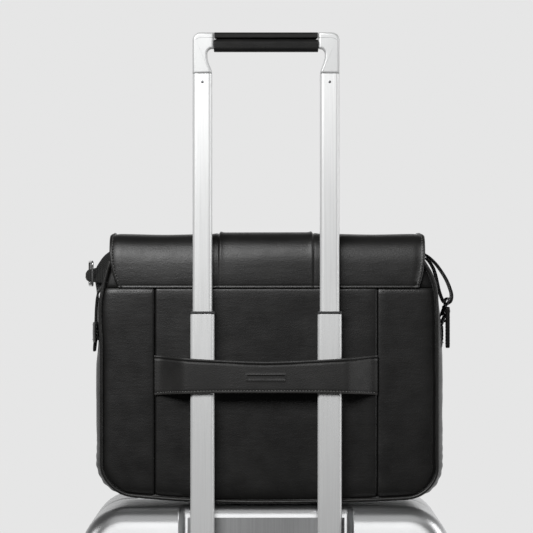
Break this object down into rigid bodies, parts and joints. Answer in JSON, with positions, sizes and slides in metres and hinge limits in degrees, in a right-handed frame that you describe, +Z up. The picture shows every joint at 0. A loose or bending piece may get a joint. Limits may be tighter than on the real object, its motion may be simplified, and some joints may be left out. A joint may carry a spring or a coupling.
{
  "type": "rolling laptop case",
  "caption": "Soft black leather flap case for a laptop, held by its back strap on the telescopic handle of a silver hard-shell wheeled case that it rides on.",
  "frame": {"origin": "on the floor under the middle of the hard case, handle extended, soft case resting on top", "axes": "+Z up; -Y is the back with the handle tubes, the side the picture shows; +X to that view's right"},
  "size_m": [0.4308, 0.22, 1.0724],
  "materials": {
    "calf_leather": "smooth black calf",
    "strap_leather": "fine-grained black",
    "padded_lining": "dark grey padded lining",
    "webbing": "black woven webbing",
    "silver_shell": "satin silver coat",
    "satin_tube": "pale satin anodised",
    "black_resin": "black moulded",
    "wheel_tread": "dark grey matt",
    "gunmetal": "dark satin metal"
  },
  "bodies": {
    "trolley": {"case_back_shell": "silver_shell", "case_seam_seal": "black_resin", "handle_bracket_upper": "black_resin", "handle_bracket_lower": "black_resin", "fixed_sleeve_left": "satin_tube", "fixed_sleeve_right": "satin_tube", "caster_cup_back_left": "black_resin", "caster_cup_back_right": "black_resin", "hinge_back_leaf": "gunmetal", "side_handle_mount_lower": "black_resin", "side_handle_mount_upper": "black_resin"},
    "front_half": {"case_front_shell": "silver_shell", "caster_cup_front_left": "black_resin", "caster_cup_front_right": "black_resin", "hinge_front_leaf": "gunmetal", "latch_catch": "gunmetal"},
    "middle_tubes": {"middle_tube_left": "satin_tube", "middle_tube_right": "satin_tube", "tube_collar_left": "black_resin", "tube_collar_right": "black_resin"},
    "pull_handle": {"upper_tube_left": "satin_tube", "upper_tube_right": "satin_tube", "handle_elbow_left": "satin_tube", "handle_elbow_right": "satin_tube", "grip": "strap_leather"},
    "release_button": {"release_bar": "strap_leather"},
    "bag": {"side_gusset": "calf_leather", "back_panel_left": "calf_leather", "back_panel_center": "calf_leather", "back_panel_right": "calf_leather", "back_yoke": "calf_leather", "front_panel": "calf_leather", "piping_back": "calf_leather", "piping_front": "calf_leather", "bottom_board": "black_resin", "laptop_divider": "padded_lining", "flap_back": "calf_leather", "trolley_strap": "strap_leather", "side_tab_left": "calf_leather", "side_tab_right": "calf_leather", "d_ring_right": "gunmetal", "snap_hook_right": "gunmetal", "shoulder_strap": "webbing", "strap_adjuster": "gunmetal", "strap_end_tab": "calf_leather"},
    "flap": {"flap_front": "calf_leather"},
    "latch": {"latch_lever": "gunmetal"},
    "side_handle": {"side_handle_bar": "black_resin"},
    "swivel_back_left": {"caster_fork_back_left": "gunmetal"},
    "wheels_back_left": {"caster_wheels_back_left": "wheel_tread"},
    "swivel_back_right": {"caster_fork_back_right": "gunmetal"},
    "wheels_back_right": {"caster_wheels_back_right": "wheel_tread"},
    "swivel_front_left": {"caster_fork_front_left": "gunmetal"},
    "wheels_front_left": {"caster_wheels_front_left": "wheel_tread"},
    "swivel_front_right": {"caster_fork_front_right": "gunmetal"},
    "wheels_front_right": {"caster_wheels_front_right": "wheel_tread"}
  },
  "joints": [
    {"name": "front_half_hinge", "type": "hinge", "parent": "trolley", "child": "front_half", "pos_m": [-0.2085, 0, 0.305], "axis": [0, 0, 1], "range_deg": [0, 110]},
    {"name": "middle_tubes_slide", "type": "slide", "parent": "trolley", "child": "middle_tubes", "axis": [0, 0, 1], "range_m": [-0.262, 0]},
    {"name": "pull_handle_slide", "type": "slide", "parent": "middle_tubes", "child": "pull_handle", "axis": [0, 0, 1], "range_m": [-0.26, 0]},
    {"name": "release_button_push", "type": "slide", "parent": "pull_handle", "child": "release_button", "axis": [0, 0, -1], "range_m": [0, 0.0016], "stiffness_N_per_m": 800, "springref_m": -0.001},
    {"name": "bag_slide", "type": "slide", "parent": "trolley", "child": "bag", "axis": [0, 0, 1], "range_m": [0, 0.3]},
    {"name": "flap_hinge", "type": "hinge", "parent": "bag", "child": "flap", "pos_m": [0, -0.0722, 0.849], "axis": [1, 0, 0], "range_deg": [0, 95]},
    {"name": "latch_hinge", "type": "hinge", "parent": "trolley", "child": "latch", "pos_m": [0.209, -0.03, 0.47], "axis": [0, 0, -1], "range_deg": [0, 80]},
    {"name": "side_handle_lift", "type": "slide", "parent": "trolley", "child": "side_handle", "axis": [1, 0, 0], "range_m": [0, 0.008], "stiffness_N_per_m": 500},
    {"name": "swivel_spin_back_left", "type": "hinge", "parent": "trolley", "child": "swivel_back_left", "pos_m": [-0.155, -0.066, 0.049], "axis": [0, 0, 1], "continuous": true},
    {"name": "wheels_spin_back_left", "type": "hinge", "parent": "swivel_back_left", "child": "wheels_back_left", "pos_m": [-0.155, -0.053, 0.0225], "axis": [1, 0, 0], "continuous": true},
    {"name": "swivel_spin_back_right", "type": "hinge", "parent": "trolley", "child": "swivel_back_right", "pos_m": [0.155, -0.066, 0.049], "axis": [0, 0, 1], "continuous": true},
    {"name": "wheels_spin_back_right", "type": "hinge", "parent": "swivel_back_right", "child": "wheels_back_right", "pos_m": [0.155, -0.053, 0.0225], "axis": [1, 0, 0], "continuous": true},
    {"name": "swivel_spin_front_left", "type": "hinge", "parent": "front_half", "child": "swivel_front_left", "pos_m": [-0.155, 0.066, 0.049], "axis": [0, 0, 1], "continuous": true},
    {"name": "wheels_spin_front_left", "type": "hinge", "parent": "swivel_front_left", "child": "wheels_front_left", "pos_m": [-0.155, 0.079, 0.0225], "axis": [1, 0, 0], "continuous": true},
    {"name": "swivel_spin_front_right", "type": "hinge", "parent": "front_half", "child": "swivel_front_right", "pos_m": [0.155, 0.066, 0.049], "axis": [0, 0, 1], "continuous": true},
    {"name": "wheels_spin_front_right", "type": "hinge", "parent": "swivel_front_right", "child": "wheels_front_right", "pos_m": [0.155, 0.079, 0.0225], "axis": [1, 0, 0], "continuous": true}
  ]
}
